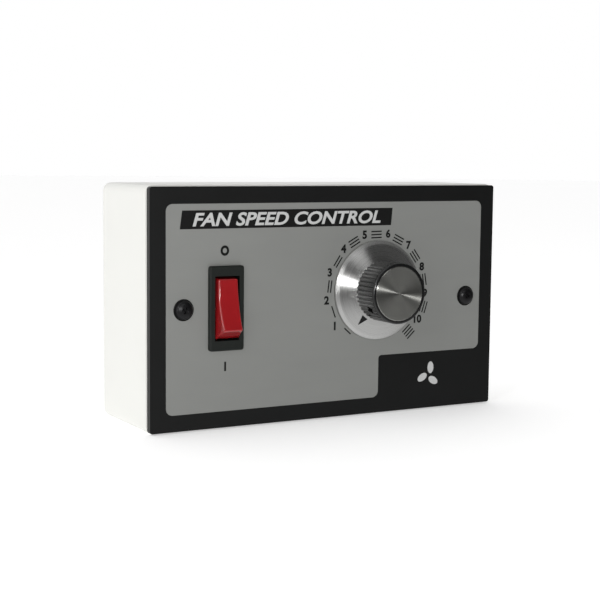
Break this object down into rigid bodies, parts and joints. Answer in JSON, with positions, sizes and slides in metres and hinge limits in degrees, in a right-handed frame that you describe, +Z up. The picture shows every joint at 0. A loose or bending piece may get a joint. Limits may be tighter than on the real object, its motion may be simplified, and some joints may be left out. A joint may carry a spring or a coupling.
{
  "type": "fan speed controller",
  "caption": "Surface-mounted fan speed controller: white back box, black front plate with silver panel, lit red rocker switch and skirted fluted control knob.",
  "frame": {"origin": "centre of the box's flat back face, which lies against the wall", "axes": "+X to the right seen from the front, +Z up, +Y out of the back into the wall; the switch and the knob face -Y"},
  "size_m": [0.147, 0.0603, 0.087],
  "materials": {
    "white_moulding": "satin",
    "black_plate": "satin",
    "silver_print": "satin",
    "black_steel": "satin",
    "black_moulding": "gloss",
    "red_lens": "gloss",
    "nylon": "satin",
    "spring_steel": "satin",
    "tinned_brass": "satin",
    "neon_glass": "gloss",
    "spun_aluminium": "brushed",
    "brass": "satin",
    "plated_steel": "satin",
    "pot_can": "satin",
    "carbon_ring": "matt",
    "board_laminate": "satin",
    "epoxy_black": "matt",
    "nickel_tab": "satin",
    "silicone_pad": "matt",
    "iron_powder": "satin",
    "enamelled_copper": "gloss",
    "yellow_case": "satin",
    "red_dip": "gloss",
    "resistor_coat": "satin",
    "blue_moulding": "satin",
    "fuse_glass": "gloss",
    "green_moulding": "satin",
    "earth_insulation": "satin",
    "brown_insulation": "satin",
    "white_insulation": "satin",
    "red_insulation": "satin"
  },
  "bodies": {
    "housing": {"wall_box": "white_moulding", "box_inserts": "brass", "front_plate": "black_plate", "face_label": "silver_print", "plate_screws": "black_steel", "switch_housing": "black_moulding", "switch_terminals": "tinned_brass", "pot_bushing": "plated_steel", "pot_nut": "plated_steel", "pot_washer": "plated_steel", "pot_wafer": "carbon_ring", "pot_terminals": "tinned_brass", "pot_case": "pot_can", "circuit_board": "board_laminate", "board_pillars": "brass", "board_screws": "plated_steel", "triac_body": "epoxy_black", "triac_tab": "nickel_tab", "triac_pad": "silicone_pad", "triac_screw": "plated_steel", "choke_core": "iron_powder", "choke_winding": "enamelled_copper", "suppression_capacitor": "yellow_case", "timing_capacitor": "red_dip", "resistors": "resistor_coat", "trimmer_body": "blue_moulding", "fuse_clips": "tinned_brass", "fuse_tube": "fuse_glass", "fuse_caps": "plated_steel", "terminal_block": "green_moulding", "terminal_cages": "brass", "terminal_screws": "plated_steel", "earth_block": "brass", "earth_screw": "plated_steel", "earth_stud": "plated_steel", "earth_nut": "plated_steel", "earth_tag": "tinned_brass", "earth_lead": "earth_insulation", "switch_leads": "brown_insulation", "switch_receptacles": "red_insulation", "pot_leads": "white_insulation"},
    "rocker": {"rocker": "red_lens", "rocker_plunger": "nylon", "plunger_spring": "spring_steel", "neon_lamp": "neon_glass"},
    "contact": {"contact_blade": "tinned_brass"},
    "knob": {"knob_body": "black_moulding", "knob_skirt": "spun_aluminium", "knob_cap": "spun_aluminium", "knob_bush": "brass", "knob_set_screw": "black_steel", "pot_shaft": "plated_steel", "pot_wiper": "carbon_ring"},
    "trimmer": {"trimmer_rotor": "nylon"}
  },
  "joints": [
    {"name": "rocker_tilt", "type": "hinge", "parent": "housing", "child": "rocker", "pos_m": [-0.0442, -0.04295, 0], "axis": [1, 0, 0], "range_deg": [0, 26.6]},
    {"name": "contact_tilt", "type": "hinge", "parent": "housing", "child": "contact", "pos_m": [-0.0442, -0.03493, 0], "axis": [1, 0, 0], "range_deg": [-9.4, 0]},
    {"name": "knob_turn", "type": "hinge", "parent": "housing", "child": "knob", "pos_m": [0.0193, -0.0445, 0.0039], "axis": [0, 1, 0], "range_deg": [0, 285]},
    {"name": "trimmer_turn", "type": "hinge", "parent": "housing", "child": "trimmer", "pos_m": [-0.0252, -0.0195, 0], "axis": [0, 1, 0], "range_deg": [-135, 135]}
  ],
  "couplings": [
    {"joint": "contact_tilt", "follows": "rocker_tilt", "ratio": -0.35}
  ]
}
